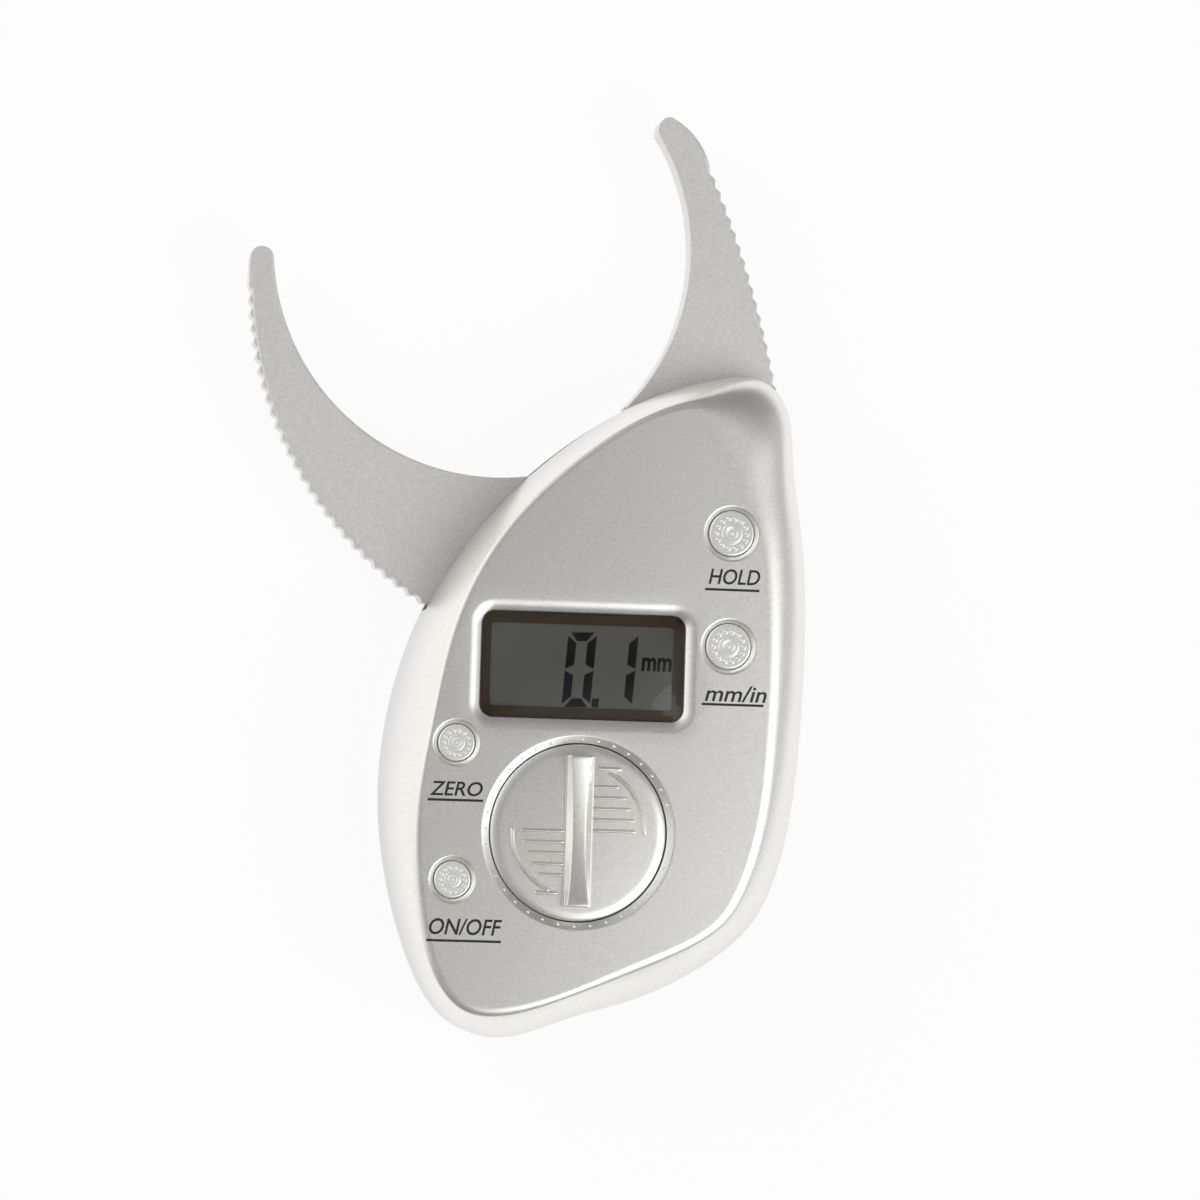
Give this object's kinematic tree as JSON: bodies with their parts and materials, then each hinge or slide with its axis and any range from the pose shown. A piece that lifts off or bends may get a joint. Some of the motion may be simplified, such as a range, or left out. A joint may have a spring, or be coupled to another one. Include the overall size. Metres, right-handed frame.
{
  "type": "skinfold caliper",
  "caption": "Digital skinfold caliper: silver housing with a display, push buttons and a twist-off battery cover, one fixed and one swinging crescent jaw with serrated grips.",
  "frame": {"origin": "where the jaw's pivot axis meets the flat back of the housing", "axes": "+Z out of the display, +Y from the pivot towards the jaws along the display's upright, +X to the right of the display"},
  "size_m": [0.0986, 0.1616, 0.028],
  "materials": {
    "silver_paint": "fine metallic silver paint on ABS, satin",
    "button_plastic": "glossy silver-white plated plastic",
    "black_plastic": "moulded, matt",
    "switch_case": "tinned steel case over plastic",
    "window": "clear polished acrylic",
    "brown_film": "dark brown printed film",
    "lcd_glass": "reflective twisted-nematic display, grey",
    "rubber": "silicone, matt",
    "board": "glass-epoxy laminate with solder mask",
    "steel": "ground steel",
    "washer_plastic": "plain nylon",
    "spring_steel": "drawn spring wire",
    "cell_steel": "nickel-plated steel can",
    "contact_metal": "nickel-plated spring strip",
    "screw_steel": "zinc-plated"
  },
  "bodies": {
    "housing": {"front_cover": "silver_paint", "rear_cover": "silver_paint", "fixed_jaw": "silver_paint", "main_board": "board", "pivot_pin": "steel", "pivot_washer": "washer_plastic", "display_window": "window", "display_frame": "brown_film", "lcd_panel": "lcd_glass", "lcd_holder": "black_plastic", "contact_strips": "rubber", "controller_chip": "black_plastic", "coin_cell": "cell_steel", "minus_contact": "contact_metal", "plus_contact": "contact_metal", "tact_switches": "switch_case", "cover_screws": "screw_steel", "jaw_screws": "screw_steel", "board_screws": "screw_steel", "return_spring": "spring_steel"},
    "jaw": {"moving_jaw": "silver_paint", "encoder_rotor": "board"},
    "battery_lid": {"battery_cover": "silver_paint"},
    "hold_key": {"hold_button": "button_plastic", "hold_switch_plunger": "black_plastic"},
    "unit_key": {"unit_button": "button_plastic", "unit_switch_plunger": "black_plastic"},
    "zero_key": {"zero_button": "button_plastic", "zero_switch_plunger": "black_plastic"},
    "power_key": {"power_button": "button_plastic", "power_switch_plunger": "black_plastic"}
  },
  "joints": [
    {"name": "jaw_hinge", "type": "hinge", "parent": "housing", "child": "jaw", "pos_m": [0, 0, 0.009], "axis": [0, 0, 1], "range_deg": [-51.8, 0], "stiffness_Nm_per_rad": 0.02, "springref_deg": 28.65, "deforming": ["return_spring"]},
    {"name": "battery_cover_turn", "type": "hinge", "parent": "housing", "child": "battery_lid", "pos_m": [-0.003, -0.04338, 0.0247], "axis": [0, 0, 1], "range_deg": [0, 40]},
    {"name": "hold_press", "type": "slide", "parent": "housing", "child": "hold_key", "axis": [0, 0, -1], "range_m": [0, 0.0004], "stiffness_N_per_m": 1500},
    {"name": "unit_press", "type": "slide", "parent": "housing", "child": "unit_key", "axis": [0, 0, -1], "range_m": [0, 0.0004], "stiffness_N_per_m": 1500},
    {"name": "zero_press", "type": "slide", "parent": "housing", "child": "zero_key", "axis": [0, 0, -1], "range_m": [0, 0.0004], "stiffness_N_per_m": 1500},
    {"name": "power_press", "type": "slide", "parent": "housing", "child": "power_key", "axis": [0, 0, -1], "range_m": [0, 0.0004], "stiffness_N_per_m": 1500}
  ]
}
